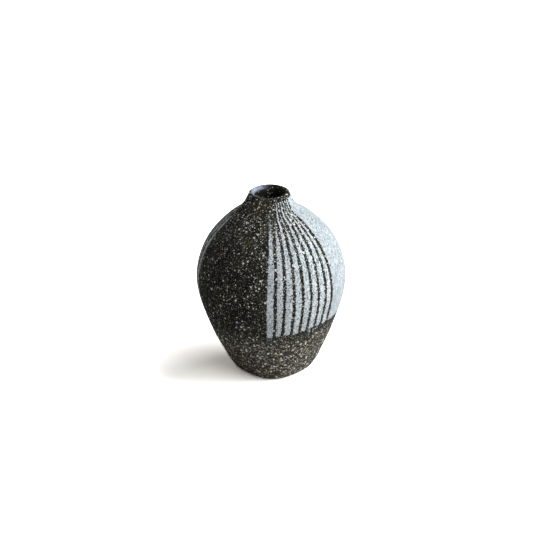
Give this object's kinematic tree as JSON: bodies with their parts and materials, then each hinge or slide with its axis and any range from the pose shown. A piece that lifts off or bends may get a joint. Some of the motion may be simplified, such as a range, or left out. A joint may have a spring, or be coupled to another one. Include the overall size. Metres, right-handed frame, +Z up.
{
  "type": "vase",
  "caption": "Small round-bellied stoneware bottle vase with a short narrow neck, a soft-square foot, speckled dark clay and banded pale slip.",
  "frame": {"origin": "centre of the foot, on the plane the vase stands on", "axes": "+Z up through the mouth, -Y towards the front, where the bare quarter meets the banded panel"},
  "size_m": [0.0962, 0.0962, 0.12],
  "materials": {
    "dark_clay": "dry unglazed stoneware, dark brown-grey with cream and white grog specks",
    "pale_slip": "dry brushed slip, pale grey-white with fine dark mottling",
    "liner_glaze": "satin dark glaze with a faint bluish sheen"
  },
  "bodies": {
    "root": {"base_slab": "dark_clay", "lower_wall": "dark_clay", "upper_wall": "dark_clay", "neck_collar": "dark_clay", "liner_glaze": "liner_glaze", "slip_bands_front": "pale_slip", "slip_bands_rear": "pale_slip", "slip_field": "pale_slip"}
  },
  "joints": []
}
